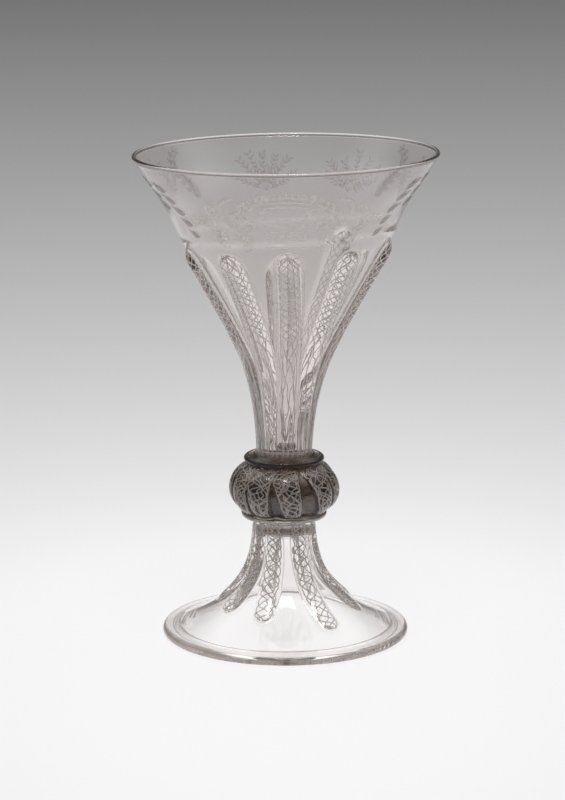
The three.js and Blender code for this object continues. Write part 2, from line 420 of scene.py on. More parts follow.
# Bowl. A waver is an amount and a seed; a calm is the length at each end over which it dies out.
bowlShape = {
    "sides": 360, "neckRadius": 8.6, "rimWall": 1.2, "rimBead": 0.75, "outerFlare": (0.264, 0.09),
    "waist": (0.9, 0.73, 0.95), "wellFlare": (0.179, 0.12), "wellRadius": 2.2, "wellFloor": 2.6,
    "outerSteps": 128, "innerSteps": 70, "beadSteps": 16, "beadJoin": 0.3, "cornerRadius": 0.5,
    "gatherLevel": 151.3, "gatherTilt": (2.0, 2.0), "gatherStep": 0.24, "gatherSoftness": 2.2,
    "gatherRise": 40.0, "gatherWaver": (0.5, 5), "outerWaver": (0.06, 3), "outerCalm": (12, 8),
    "innerWaver": (0.09, 12), "innerCalm": (15, 8), "beadWaver": (0.05, 8), "beadSlack": 0.06,
    "baseShares": (0.3, 0.6, 0.85), "cornerBands": (-90, -60, -30, 0), "wellBands": (-18, -36, -54, -72),
}
bowlRidge = {  # in a rib's values a pair runs from its neck to its tip
    "width": (7.8, 10.6), "height": (1.7, 3.0), "tipLength": 5.6, "flatness": 2.5, "edge": 1.0, "blend": 5,
}
rimLineRadius = bowlHigh.x - bowlShape["rimBead"]
beadLevel = bowlHigh.z - bowlShape["rimBead"]


def softRamp(x, start, softness):
    rise = lambda v: np.log(1 + np.exp((v - start) / softness))
    return (rise(x) - rise(0)) / (rise(1) - rise(0))


def bowlRadius(z, foot, flare, side):
    s = (z - bowlLow.z) / (beadLevel - bowlLow.z)
    depth, low, high = bowlShape["waist"]
    waist = depth * np.sin(pi * np.clip((s - low) / (high - low), 0, 1)) ** 2
    top = rimLineRadius + side * bowlShape["rimWall"] / 2
    return lerp(foot, top, softRamp(s, *flare)) - waist


def bowlOuter(z):
    return bowlRadius(z, bowlShape["neckRadius"], bowlShape["outerFlare"], 1)


def bowlInner(z):
    return bowlRadius(z, bowlShape["wellRadius"], bowlShape["wellFlare"], -1)


def bowlRise(turn, z):  # what stands proud of the plain outer cone: ribs, the second gather and waviness
    s = bowlShape
    height = ridges(
        turn, z, bowlOuter(z), bowlCourses, bowlRidge,
        lambda course: (z - course["low"]) / (course["high"] - course["low"]),
        lambda course: (z - course["high"]) / bowlRidge["tipLength"] + 1,
    )
    right, front = s["gatherTilt"]
    edge = s["gatherLevel"] + right * np.sin(turn) + front * np.cos(turn) + waver(turn, 0, *s["gatherWaver"])
    gather = s["gatherStep"] * smooth((edge - z) / s["gatherSoftness"] + 0.5)
    gather = gather * smooth((z - bowlLow.z) / s["gatherRise"])
    still = calm(z, bowlLow.z, bowlHigh.z, s["outerCalm"])
    return height + gather + still * waver(turn, z, *s["outerWaver"])


def bowlMesh():
    s = bowlShape
    turn = compass(s["sides"])
    base = bowlLow.z - seat["gap"] - seat["sink"]
    corner = s["cornerRadius"]
    first = raised(bowlOuter, bowlLow.z + corner, bowlRise(turn, bowlLow.z + corner), turn)
    flat = np.hypot(first[:, 0], first[:, 1]) - corner
    rows = [pole(base)] + [ring(flat * share, base, turn) for share in s["baseShares"]]
    rows += arc(flat, base + corner, corner, corner, np.radians(s["cornerBands"]), turn)
    join = acos(s["rimWall"] / 2 / s["rimBead"])
    underBead = beadLevel - s["rimBead"] * sin(join)
    wallTop = underBead - s["beadJoin"]
    for z in lerp(bowlLow.z + corner, wallTop, shares(s["outerSteps"])):
        rows.append(raised(bowlOuter, z, bowlRise(turn, z), turn))
    rows.append(ring(bowlOuter(underBead), underBead, turn))
    bead = s["rimBead"] * (1 + waver(turn, 0, *s["beadWaver"]) - s["beadSlack"])
    angles = lerp(-join, pi + join, shares(s["beadSteps"]))[1:-1]
    rows += arc(rimLineRadius, beadLevel, bead, bead, angles, turn)
    rows.append(ring(bowlInner(underBead), underBead, turn))
    wellTop = bowlLow.z + s["wellFloor"] + s["wellRadius"]
    for z in lerp(wallTop, wellTop, shares(s["innerSteps"])):
        still = calm(z, wellTop, underBead, s["innerCalm"])
        rows.append(ring(bowlInner(z) + still * waver(turn, z, *s["innerWaver"]), z, turn))
    rows += arc(0, wellTop, bowlInner(wellTop), s["wellRadius"], np.radians(s["wellBands"]), turn)
    return loft(rows + [pole(wellTop - s["wellRadius"])])


seeds = {
    "count": 70, "radius": (0.09, 0.24), "stretch": 1.6, "lowest": 84.0, "overGather": 20, "sides": 8,
    "bands": (52, 18, -18, -52), "seed": 21,
}


def seedBubbles():  # small stretched air bubbles inside the bowl's wall, facing inwards as every cavity does
    rng = np.random.default_rng(seeds["seed"])
    parts = []
    turn = compass(seeds["sides"])
    for i in range(seeds["count"]):
        z = rng.uniform(seeds["lowest"], bowlShape["gatherLevel"] + seeds["overGather"])
        angle = rng.uniform(0, 2 * pi)
        radius = rng.uniform(*seeds["radius"])
        length = radius * rng.uniform(1, seeds["stretch"])
        middle = (bowlOuter(z) + bowlInner(z)) / 2
        centre = np.array([middle * sin(angle), -middle * cos(angle), z])
        rows = arc(0, 0, radius, length, np.radians(seeds["bands"]), turn)
        points, faces = loft([pole(length)] + rows + [pole(-length)])
        parts.append((points + centre, faces))
    return parts


bowlParts = joined([bowlMesh()] + seedBubbles())
bowl = newPiece("bowl_wall", *bowlParts, bowlGlass, slot="clear_glass", nodes=["bowl"])
print("bowl made:", len(bowl.data.polygons), "faces")


# Foot
footShape = {
    "sides": 360, "neckRadius": 10.9, "sweep": 3.1, "wall": 1.7, "rimBead": 1.8, "beadSteps": 18,
    "beadEnd": 135, "beadWaver": (0.03, 18), "beadSlack": 0.045, "foldWidth": 6.7, "foldStep": 0.7,
    "foldSlope": 2.0, "foldWaver": (0.25, 17), "capThickness": 2.8, "domeHeight": 3.0, "outerSteps": 90,
    "innerSteps": 60, "outerWaver": (0.05, 14), "innerWaver": (0.07, 15), "calm": (6, 8), "calmFrom": 4,
    "outerCrowding": 0.8, "innerCrowding": 1.6, "restCorner": (0.5, 0.05), "topCorner": (0.3, 0.15),
    "topShares": (0.8, 0.4), "domeBands": (80, 65, 50, 35, 20),
}
foldEdge = ((-2.5, 1.4), (-0.6, 0.35), (0.6, -0.25))  # how the fold's inner edge curls down, from its line
footRidge = {
    "width": (6.6, 9.2), "height": (0.7, 1.15), "archHeight": 0.6, "archLength": 32, "tipLength": 4.0,
    "flatness": 2.2, "edge": 1.15, "blend": 5,
}
foldAir = {
    "middle": (40.6, 2.7), "halfLength": 1.75, "halfThickness": 0.3, "slope": -24.0, "steps": 16,
    "waver": (0.12, 31), "swell": 0.35,
}
footSpread = footHigh.x - footShape["rimBead"] / 2 - footShape["neckRadius"]


def footOuter(z):
    depth = np.clip((footHigh.z - z) / (footHigh.z - footShape["rimBead"]), 0, None)
    return footShape["neckRadius"] + footSpread * depth ** footShape["sweep"]


def footLevel(r):
    share = np.clip((r - footShape["neckRadius"]) / footSpread, 0, None)
    return footHigh.z - (footHigh.z - footShape["rimBead"]) * share ** (1 / footShape["sweep"])


def footRise(turn, z):
    radius = footOuter(z)
    height = ridges(
        turn, z, radius, footCourses, footRidge,
        lambda course: (footHigh.z - z) / (footHigh.z - course["low"]),
        lambda course: (radius - course["reach"]) / footRidge["tipLength"] + 1,
    )
    share = np.clip((footHigh.z - z) / footRidge["archLength"], 0, 1)
    arch = 1 + footRidge["archHeight"] * np.sin(pi * share)
    still = calm(z, footShape["calmFrom"], footHigh.z, footShape["calm"])
    return height * arch + still * waver(turn, z, *footShape["outerWaver"])


def footInner(z):
    return footOuter(z) - footShape["wall"] * hypot(1, slopeOf(footOuter, z))


def footMesh():
    s = footShape
    turn = compass(s["sides"])
    top = footHigh.z + seat["gap"] + seat["sink"]
    domeTop = footHigh.z - s["capThickness"]
    domeBase = domeTop - s["domeHeight"]
    rows = [pole(domeTop)]
    rows += arc(0, domeBase, footInner(domeBase), s["domeHeight"], np.radians(s["domeBands"]), turn)
    foldTop = 2 * s["rimBead"] + s["wall"]
    for z in lerp(domeBase, foldTop, 1 - (1 - shares(s["innerSteps"])) ** s["innerCrowding"]):
        still = calm(z, foldTop, domeBase, s["calm"])
        rows.append(ring(footInner(z) + still * waver(turn, z, *s["innerWaver"]), z, turn))
    foldRadius = footHigh.x - s["foldWidth"]
    for out, up in foldEdge:
        rows.append(ring(foldRadius + out + waver(turn, 0, *s["foldWaver"]), s["foldStep"] + up, turn))
    rest = foldRadius + s["foldSlope"]
    out, up = s["restCorner"]
    rows += [ring(rest, up, turn), ring(rest + out, 0, turn)]
    thick = s["rimBead"] * (1 + waver(turn, 0, *s["beadWaver"]) - s["beadSlack"])
    angles = np.radians(lerp(-90, s["beadEnd"], shares(s["beadSteps"])))
    rows += arc(footHigh.x - s["rimBead"], s["rimBead"], thick, thick, angles, turn)
    for z in lerp(2 * s["rimBead"], footHigh.z, 1 - (1 - shares(s["outerSteps"])[1:]) ** s["outerCrowding"]):
        rows.append(raised(footOuter, z, footRise(turn, z), turn))
    last = np.hypot(rows[-1][:, 0], rows[-1][:, 1])
    out, down = s["topCorner"]
    rows += [ring(last, top - down, turn), ring(last - out, top, turn)]
    return loft(rows + [ring(last * share, top, turn) for share in s["topShares"]] + [pole(top)])


def foldAirMesh():  # thin ring of air shut in by the folded rim
    turn = compass(footShape["sides"] // 2)
    tilt = radians(foldAir["slope"])
    rows = []
    for angle in -compass(foldAir["steps"]):
        along = foldAir["halfLength"] * cos(angle) * (1 + waver(turn, 0, *foldAir["waver"]))
        off = foldAir["halfThickness"] * sin(angle) * (1 + foldAir["swell"] * cos(angle))
        r = foldAir["middle"][0] + along * cos(tilt) - off * sin(tilt)
        z = foldAir["middle"][1] + along * sin(tilt) + off * cos(tilt)
        rows.append(ring(r, z, turn))
    return loft(rows, closed=True)


footParts = joined([footMesh(), foldAirMesh()])
foot = newPiece("foot_wall", *footParts, clearGlass, slot="clear_glass", nodes=["foot"])
print("foot made:", len(foot.data.polygons), "faces")


# Knop: a dark bulb inside a thin clear casing that carries the ribs. A pair is for its top and bottom.
knopShape = {
    "sides": 300, "steps": 44, "bellyRadius": 18.9, "bellyHeight": 6.9, "inset": (2.2, 0.7),
    "cut": (1.5, 1.4), "casing": 0.35, "wall": 1.6, "bulbTrim": -0.1, "hollowTrim": 0.8,
    "capShares": (0.4, 0.8), "waver": (0.08, 41, 20), "taper": (0.08, 0.94),
}
knopRidge = {"width": (8.6, 10.5), "height": (1.75, 1.85), "flatness": 2.0, "edge": 0.6, "blend": 6}
knopEnds = (upperCollarHigh.x - knopShape["inset"][0], lowerCollarHigh.x - knopShape["inset"][1])


def knopRadius(z):
    belly = knopShape["bellyHeight"]
    rise = z - knopLow.z - belly
    pairs = (knopHigh.z - knopLow.z - belly, belly), knopShape["cut"], knopEnds
    end, cut, radius = [np.where(rise > 0, *pair) for pair in pairs]
    full = np.sqrt(np.clip(1 - (rise / (end + cut)) ** 2, 0, None))
    least = np.sqrt(1 - (end / (end + cut)) ** 2)
    return lerp(radius, knopShape["bellyRadius"], (full - least) / (1 - least))


def knopTaper(along):
    return np.sqrt(np.sin(pi * lerp(*knopShape["taper"], along)))


def knopRows(inset, trim, ridged):
    turn = compass(knopShape["sides"])
    low, high = knopLow.z + trim, knopHigh.z - trim
    cap = lambda z: [ring((knopRadius(z) - inset) * share, z, turn) for share in knopShape["capShares"]]
    rows = [pole(low)] + cap(low)
    for z in lerp(low, high, shares(knopShape["steps"])):
        height = 0 * turn - inset
        if ridged:
            along = np.clip((z - knopLow.z) / (knopHigh.z - knopLow.z), 0, 1)
            ribs = ridges(
                turn, z, knopRadius(z), knopCourses, knopRidge, lambda course: along, lambda course: 0 * turn,
            )
            height = height + ribs * knopTaper(along) + waver(turn, z, *knopShape["waver"])
        rows.append(raised(knopRadius, z, height, turn))
    return rows + cap(high)[::-1] + [pole(high)]


bulb = loft(knopRows(knopShape["casing"], knopShape["bulbTrim"], False))
hollow = loft(knopRows(knopShape["wall"], knopShape["hollowTrim"], False)[::-1])
casing = loft(knopRows(0, -seat["gap"] - seat["sink"], True))
newPiece("knop_bulb", *joined([bulb, hollow]), bulbGlass, slot="smoky_glass", nodes=["knop"])
newPiece("knop_casing", *casing, clearGlass, slot="clear_glass")
print("knop made")


# Collars
collarShape = {
    "sides": 240, "lipInset": 0.5, "lipThickness": 0.7, "ringRadius": 1.2, "ringSink": 0.1,
    "socketRadius": 10.55, "socketRise": 1.2, "sweep": 1.5, "beadSteps": 14, "waver": 0.12,
    "waverLength": 15, "waverFrom": 12, "flatRadius": 6, "upperSeed": 51, "lowerSeed": 52,
}


def turnedMesh(profile, seed):
    s = collarShape
    turn = compass(s["sides"])
    rows = []
    for r, z in profile:
        if r == 0:
            rows.append(pole(z))
        else:
            uneven = min(r / s["waverFrom"], 1) * waver(turn, z, s["waver"], seed, s["waverLength"])
            rows.append(ring(r + uneven, z, turn))
    return loft(rows)


def beadProfile(r, z, radius, fromDeg, toDeg):
    angles = np.radians(lerp(fromDeg, toDeg, shares(collarShape["beadSteps"])))
    return [(r + radius * cos(a), z + radius * sin(a)) for a in angles]


def upperCollarProfile():  # a trailed ring over a thin lip, and a socket that rises round the neck
    s = collarShape
    low, high = upperCollarLow.z, upperCollarHigh.z
    lip = s["lipThickness"] / 2
    lipRadius = upperCollarHigh.x - s["waver"] - s["lipInset"]
    bead = s["ringRadius"]
    ringRadius = upperCollarHigh.x - s["waver"] - bead
    ringLevel = low + s["lipThickness"] + bead - s["ringSink"]
    socket, socketTop = s["socketRadius"], high + s["socketRise"]
    outline = [(0, low), (lipRadius * 0.6, low)]
    outline += beadProfile(lipRadius - lip, low + lip, lip, -90, 60)
    outline += beadProfile(ringRadius, ringLevel, bead, -50, 140)
    for share in (0.0, 0.3, 0.6, 0.85):
        level = lerp(high - s["ringSink"], socketTop, share ** s["sweep"])
        outline.append((lerp(ringRadius - bead, socket + 0.5, share), level))
    outline += [(socket + 0.25, socketTop + 0.05), (socket, socketTop - 0.2), (socket - 0.05, high + 0.1)]
    return outline + [(socket - 0.2, high), (s["flatRadius"], high), (0, high)]


def lowerCollarProfile():
    s = collarShape
    low, high = lowerCollarLow.z, lowerCollarHigh.z
    bead = (high - low) / 2
    outline = [(0, low), (s["flatRadius"], low)]
    outline += beadProfile(lowerCollarHigh.x - s["waver"] - bead, low + bead, bead, -90, 90)
    return outline + [(s["flatRadius"], high), (0, high)]


upperCollar = turnedMesh(upperCollarProfile(), collarShape["upperSeed"])
lowerCollar = turnedMesh(lowerCollarProfile(), collarShape["lowerSeed"])
newPiece("collar_upper", *upperCollar, collarGlass, slot="smoky_glass", nodes=["upper_collar"])
newPiece("collar_lower", *lowerCollar, paleCollarGlass, slot="smoky_glass", nodes=["lower_collar"])
print("collars made")


# Filigree threads, wound round a flat cane inside each rib by Geometry Nodes
def named(tree, name, dataType="FLOAT"):
    return addNode(tree, "GeometryNodeInputNamedAttribute", {"Name": name}, data_type=dataType)


def tubed(tree, curve, sides, radius, **more):
    section = addNode(tree, "GeometryNodeCurvePrimitiveCircle", {"Resolution": sides, "Radius": radius})
    values = {"Curve": curve, "Profile Curve": section, "Fill Caps": True, **more}
    return addNode(tree, "GeometryNodeCurveToMesh", values)


def shifted(tree, geometry, offset):
    return addNode(tree, "GeometryNodeSetPosition", {"Geometry": geometry, "Offset": offset})


def closeTree(tree, source, result, geometry):  # the end that every Geometry Nodes tree here has
    real = addNode(tree, "GeometryNodeRealizeInstances", {"Geometry": geometry})
    values = {"Geometry": real, "Material": source["Material"]}
    setInputs(tree, result, {"Geometry": addNode(tree, "GeometryNodeSetMaterial", values)})
    return tree


strayNoise = {"pace": 260.0, "ribStep": 17.3, "threadStep": 3.7}  # where each thread reads its own wandering


def filigreeTree():
    tree, source, result = newGroup("filigreeThreads", "GeometryNodeTree", (
        ("Geometry", "Geometry", None), ("Thread Count", "Int", 6), ("Thread Radius", "Float", 0.00018),
        ("Wander", "Float", 0.3), ("Seed", "Int", 0), ("Material", "Material", None),
    ), (("Geometry", "Geometry", None),))
    course = addNode(tree, "GeometryNodeMeshToCurve", {"Mesh": source["Geometry"]})
    values = {"Geometry": course, "Amount": source["Thread Count"]}
    copies = addNode(tree, "GeometryNodeDuplicateElements", values, domain="SPLINE")
    index = copies.node.outputs["Duplicate Index"]
    row = maths(tree, "ADD", times(tree, source["Seed"], strayNoise["ribStep"]), index)
    spot = addNode(tree, "ShaderNodeCombineXYZ", {
        "X": times(tree, named(tree, "along"), strayNoise["pace"]),
        "Y": times(tree, row, strayNoise["threadStep"]),
    })
    values = {"Vector": spot, "Scale": 1.0, "Detail": 1.0}
    noise = addNode(tree, "ShaderNodeTexNoise", values, noise_dimensions="2D")
    stray = times(tree, maths(tree, "SUBTRACT", noise, 0.5), source["Wander"])
    share = maths(tree, "DIVIDE", index, source["Thread Count"])
    turns = maths(tree, "ADD", named(tree, "phase"), maths(tree, "ADD", share, stray))
    angle = times(tree, turns, 2 * pi)
    sideways = times(tree, maths(tree, "SINE", angle), named(tree, "halfWidth"))
    outwards = times(tree, maths(tree, "COSINE", angle), named(tree, "halfDepth"))
    fall = times(tree, times(tree, sideways, sideways), named(tree, "bend"))
    outwards = maths(tree, "SUBTRACT", outwards, fall)
    offset = vectorMaths(
        tree, "ADD",
        vectorMaths(tree, "SCALE", named(tree, "across", "FLOAT_VECTOR"), sideways),
        vectorMaths(tree, "SCALE", named(tree, "outward", "FLOAT_VECTOR"), outwards),
    )
    tube = tubed(tree, shifted(tree, copies, offset), 6, source["Thread Radius"])
    soft = addNode(tree, "GeometryNodeSetShadeSmooth", {"Geometry": tube})
    return closeTree(tree, source, result, soft)


filigree = filigreeTree()


def guide(piece, dataType, field, values):  # values at each point, which a tree reads by name
    for key, numbers in values.items():
        data = piece.data.attributes.new(key, dataType, "POINT").data
        data.foreach_set(field, numbers.astype(np.float32).ravel())


guides = ("along", "phase", "halfWidth", "halfDepth", "bend", "across", "outward", "centre")


def grown(piece, tree, values):  # runs a node tree on a piece and keeps the plain mesh
    modifier = piece.modifiers.new(tree.name, "NODES")
    modifier.node_group = tree
    for item in tree.interface.items_tree:
        if item.item_type == "SOCKET" and item.in_out == "INPUT" and item.name in values:
            modifier[item.identifier] = values[item.name]
    piece.update_tag()
    graph = bpy.context.evaluated_depsgraph_get()
    graph.update()
    mesh = bpy.data.meshes.new_from_object(piece.evaluated_get(graph))
    piece.modifiers.clear()
    piece.data = mesh
    for name in guides:
        if name in mesh.attributes:
            mesh.attributes.remove(mesh.attributes[name])
    return piece


def running(steps):  # the total so far at each point
    return np.concatenate([[0], np.cumsum(steps)])


def canePiece(course, seed, look, radiusAt, levels, depth, halfWidth, halfDepth, bend, pitch):
    turn = course["turnAt"](levels)
    centre = raised(radiusAt, levels, depth, turn)
    steps = np.linalg.norm(np.diff(centre, axis=0), axis=1)
    pitch = np.broadcast_to(pitch, levels.shape)
    phase = running(steps * 2 / (pitch[1:] + pitch[:-1]))
    edges = [(i, i + 1) for i in range(len(levels) - 1)]
    piece = newPiece(course["node"] + "_threads", centre, [], None, edges=edges)
    guide(piece, "FLOAT", "value", {
        "along": running(steps) * mm, "phase": phase, "halfWidth": halfWidth * mm,
        "halfDepth": halfDepth * mm, "bend": bend / mm,
    })
    across = np.stack([np.cos(turn), np.sin(turn), 0 * turn], -1)
    guide(piece, "FLOAT_VECTOR", "vector", {"outward": facingOf(radiusAt, levels, turn), "across": across})
    grown(piece, filigree, {
        "Thread Count": look["threads"], "Thread Radius": look["threadRadius"] * mm,
        "Wander": look["wander"], "Seed": seed, "Material": look["material"],
    })
    return finished(piece, [course["node"]])


# A cane whose depth and bend keep its threads inside the rib's glass
def sunkPiece(course, seed, look, radiusAt, levels, shape, swell, along, past, depth, halfWidth, halfDepth):
    skin = look["threadRadius"] + look["cover"]
    edge = np.clip(np.hypot(halfWidth / halfBreadth(shape, along), past), 0, 1)
    depth = np.minimum(depth, crest(shape, along, past) * swell - halfDepth - skin)
    fall = np.clip(depth + skin - crest(shape, along, edge) * swell, 0, None)
    curving = 0.5 / (radiusAt(levels) * np.hypot(1, slopeOf(radiusAt, levels)))
    bend = fall / halfWidth ** 2 + curving
    return canePiece(course, seed, look, radiusAt, levels, depth, halfWidth, halfDepth, bend, look["pitch"])


def closing(look, past):  # the cane narrows round its tip
    return np.sqrt(1 - look["tipClose"] * past ** 2)


bowlCane = {
    "step": 0.9, "slant": 1.08, "threads": 6, "pitch": 19.5, "drawnPitch": 130.0, "drawnBelow": 120.0,
    "drawnOver": 28, "threadRadius": 0.17, "wander": 0.12, "halfWidth": (1.9, 3.3), "spread": 1.2,
    "halfDepth": (0.5, 1.5), "depth": (0.6, 1.1), "tipLength": 3.6, "tipClose": 0.98, "tipDrop": 0.75,
    "lowEnd": 0.2, "highEnd": 0.8, "material": whiteThread,
}
footCane = {
    "step": 0.8, "threads": 5, "pitch": 17.0, "threadRadius": 0.21, "wander": 0.3, "halfWidth": (2.5, 3.3),
    "halfDepth": (0.25, 0.3), "depth": (0.25, 0.32), "tipLength": 2.5, "tipClose": 0.9, "cover": 0.05,
    "lowEnd": 0.8, "highEnd": 0.1, "material": footThread,
}
knopCane = {
    "step": 0.35, "threads": 11, "pitch": 28.0, "threadRadius": 0.19, "wander": 0.4, "halfWidth": (3.3, 4.9),
    "halfDepth": (0.45, 0.55), "depth": (0.9, 1.0), "pinch": 0.75, "pinchShare": 4, "cover": 0.08,
    "lowEnd": 0.5, "highEnd": 0.15, "material": dullThread,
}


def bowlThreads(course, seed):
    look = bowlCane
    count = int((course["high"] - course["low"]) * look["slant"] / look["step"])
    low, high = course["low"] + look["lowEnd"], course["high"] - look["highEnd"]
    levels = np.linspace(low, high, count)
    along = (levels - low) / (high - low)
    past = pastTip(levels, high, look["tipLength"])
    depth = lerp(*look["depth"], along) * np.sqrt(1 - look["tipDrop"] * past ** 2)
    halfWidth = lerp(*look["halfWidth"], smooth(along * look["spread"])) * closing(look, past)
    halfDepth = lerp(*look["halfDepth"], along) * closing(look, past)
    drawn = smooth((look["drawnBelow"] - levels) / look["drawnOver"])
    pitch = lerp(look["pitch"], look["drawnPitch"], drawn)
    return canePiece(course, seed, look, bowlOuter, levels, depth, halfWidth, halfDepth, 0 * levels, pitch)


def footThreads(course, seed):
    look = footCane
    reach = course["reach"] - look["lowEnd"]
    low, high = float(footLevel(reach)), footHigh.z - look["highEnd"]
    fine = np.linspace(high, low, 400)
    length = running(np.hypot(np.diff(fine), np.diff(footOuter(fine))))
    levels = np.interp(np.linspace(0, length[-1], int(length[-1] / look["step"])), length, fine)
    along = (high - levels) / (high - low)
    arch = 1 + footRidge["archHeight"] * np.sin(pi * along)
    close = closing(look, pastTip(footOuter(levels), reach, look["tipLength"]))
    halfWidth = lerp(*look["halfWidth"], along) * close
    halfDepth = lerp(*look["halfDepth"], along) * close * arch
    past = pastTip(footOuter(levels), course["reach"], footRidge["tipLength"])
    depth = lerp(*look["depth"], along) * arch
    inside = footRidge, arch, along, past
    return sunkPiece(course, seed, look, footOuter, levels, *inside, depth, halfWidth, halfDepth)


def knopThreads(course, seed):
    look = knopCane
    low, high = knopLow.z + look["lowEnd"], knopHigh.z - look["highEnd"]
    levels = np.linspace(low, high, int((high - low) / look["step"]))
    along = (levels - low) / (high - low)
    taper = knopTaper(along)
    halfWidth = lerp(*look["halfWidth"], along) * lerp(look["pinch"], 1, smooth(along * look["pinchShare"]))
    halfDepth = lerp(*look["halfDepth"], along) * taper
    depth = lerp(*look["depth"], along) * taper
    inside = knopRidge, taper, along, 0 * along
    return sunkPiece(course, seed, look, knopRadius, levels, *inside, depth, halfWidth, halfDepth)


for courses, threads, firstSeed in (
    (bowlCourses, bowlThreads, 0), (knopCourses, knopThreads, 20), (footCourses, footThreads, 40),
):
    for index, course in enumerate(courses):
        threads(course, firstSeed + index)
print("filigree threads made")


# Frieze engraved round the bowl: bars in front between leafy scrolls, petals at the sides, sprays behind.
# A stroke is a list of (distance round the bowl, level) with its half width at each point.
frieze = {
    "middle": 161.0, "radius": 46.0, "lift": 0.05, "flat": 0.05, "sides": 8, "bar": 0.5, "stem": 0.24,
    "leaf": 1.1, "petal": 1.75, "seed": 61, "strokeEnd": 0.35, "strokeFullness": 0.5, "leafEnd": 0.12,
    "leafSkew": 0.8, "leafPoint": 1.2, "scrollSteps": 26, "scrollClosing": 0.85,
}
barsLook = {
    "levels": (-9.0, -6.6, -3.0, -0.6, 1.8), "reach": 8.4, "sway": 0.25,
    "arches": ((5.4, 9.6), (7.2, 9.0), (9.0, 8.0)), "archRise": 1.5, "archWeight": 1.3,
    "dots": (-6.4, -3.2, 0.0, 3.2, 6.4), "dotLevel": -4.8, "dotSize": (1.7, 0.35), "dotShift": 0.8,
    "points": 9, "pointReach": 7.5, "pointLevel": 11.0, "pointSize": (1.8, 0.5), "pointFall": 0.02,
}
petalsLook = {
    "rows": ((46.5, 9.5, 5), (56.5, 10.5, 3)), "stepRound": 1.9, "stepDown": 4.1, "bearing": 0.34,
    "length": 9.0, "shorter": 0.6, "narrower": 0.06, "bend": 0.07, "sizes": (1.0, 0.8),
}
sprayLook = {
    "twigs": 7, "length": (12, 15.5), "bend": 0.12, "root": -1.0, "leafSize": (1.8, 2.9), "leafWidth": 0.38,
    "leafTurn": (0.5, 0.9), "leanScatter": (0.85, 1.1), "steps": 9, "sideShorter": 0.2,
}
sprays = ((106, 0.8), (147, 1.15), (190, 1.0), (252, 0.8))  # compass degrees and spread
plumes = ((126, 1), (231, -1))  # compass degrees and the side that it curls to
plumeLook = {
    "steps": 15, "curling": 1.3, "stem": 1.6, "tipLeaf": 0.5,
    "leaves": ((-0.75, 1.0, 3.4, -0.12), (0.6, 0.7, 4.6, 0.1)),  # turn, size, slimness and bend
    "behind": ((1.0, 0.9, -2.6, 21, 4.6), (-2.0, -0.2, 1.6, 13, 3.4)),  # level, lean, curl, length and leaf
}
flourishLook = {
    # distance out, level, angle, curl, length and leaf
    "plumes": (
        (12.5, -9.5, 0.5, 4.2, 30, 5.0), (12.0, -3.0, 1.1, 2.6, 19, 4.8), (25.0, -8.5, 1.3, -2.4, 22, 5.0),
    ),
    # distance out, level, radius, start, turns and half width
    "scrolls": (
        (18.5, 0.5, 3.8, 2.6, -1.4, 0.8), (27.5, 4.5, 3.4, 3.4, 1.3, 0.7),
        (19.5, 2.5, 7.0, 1.9, -0.75, 1.3), (25.0, -4.5, 5.2, 4.4, 0.7, 1.15),
    ),
}


def strokesTree():
    tree, source, result = newGroup("engravedStrokes", "GeometryNodeTree", (
        ("Geometry", "Geometry", None), ("Sides", "Int", 8), ("Flatness", "Float", 0.06),
        ("Material", "Material", None),
    ), (("Geometry", "Geometry", None),))
    course = addNode(tree, "GeometryNodeMeshToCurve", {"Mesh": source["Geometry"]})
    values = {"Curve": course, "Radius": named(tree, "halfWidth")}
    broad = addNode(tree, "GeometryNodeSetCurveRadius", values)
    tube = tubed(tree, broad, source["Sides"], 1.0, Scale=named(tree, "halfWidth"))
    facing = named(tree, "outward", "FLOAT_VECTOR")
    place = tree.nodes.new("GeometryNodeInputPosition").outputs[0]
    away = vectorMaths(tree, "SUBTRACT", place, named(tree, "centre", "FLOAT_VECTOR"))
    height = vectorMaths(tree, "DOT_PRODUCT", away, facing)
    squash = times(tree, height, maths(tree, "SUBTRACT", source["Flatness"], 1.0))
    return closeTree(tree, source, result, shifted(tree, tube, vectorMaths(tree, "SCALE", facing, squash)))


def stroke(us, zs, width):  # even stroke with thinner ends
    share = np.linspace(0, 1, len(us))
    swell = np.sin(pi * share) ** frieze["strokeFullness"]
    return np.stack([us, zs], 1), width * lerp(frieze["strokeEnd"], 1, swell)


def leafStroke(u, z, angle, length, width, bend=0.0):
    share = np.linspace(0, 1, 7)
    along, off = share * length, bend * length * np.sin(pi * share)
    c, n = cos(angle), sin(angle)
    points = np.stack([u + along * c - off * n, z + along * n + off * c], 1)
    swell = np.sin(pi * share ** frieze["leafSkew"]) ** frieze["leafPoint"]
    return points, width * (frieze["leafEnd"] + swell)


def scroll(u, z, radius, start, turns, width):  # a spiral that closes inwards
    share = np.linspace(0, 1, int(frieze["scrollSteps"] * abs(turns)))
    angle, r = start + share * turns * 2 * pi, radius * (1 - share * frieze["scrollClosing"])
    return stroke(u + r * np.cos(angle), z + r * np.sin(angle), width)


def bars():
    rng = np.random.default_rng(frieze["seed"])
    look, middle = barsLook, frieze["middle"]
    across = np.linspace(-1, 1, 15)
    strokes = []
    for level in look["levels"]:
        sway = rng.uniform(-look["sway"], look["sway"])
        strokes.append(stroke(look["reach"] * across, middle + level + sway * across, frieze["bar"]))
    for level, reach in look["arches"]:
        arch = middle + level + look["archRise"] * (1 - across ** 2)
        strokes.append(stroke(reach * across, arch, frieze["bar"] * look["archWeight"]))
    for place in look["dots"]:
        strokes.append(leafStroke(place - look["dotShift"], middle + look["dotLevel"], 0.0, *look["dotSize"]))
    for place in np.linspace(-look["pointReach"], look["pointReach"], look["points"]):
        level = middle + look["pointLevel"] - look["pointFall"] * place ** 2
        strokes.append(leafStroke(place, level, pi / 2, *look["pointSize"]))
    return strokes


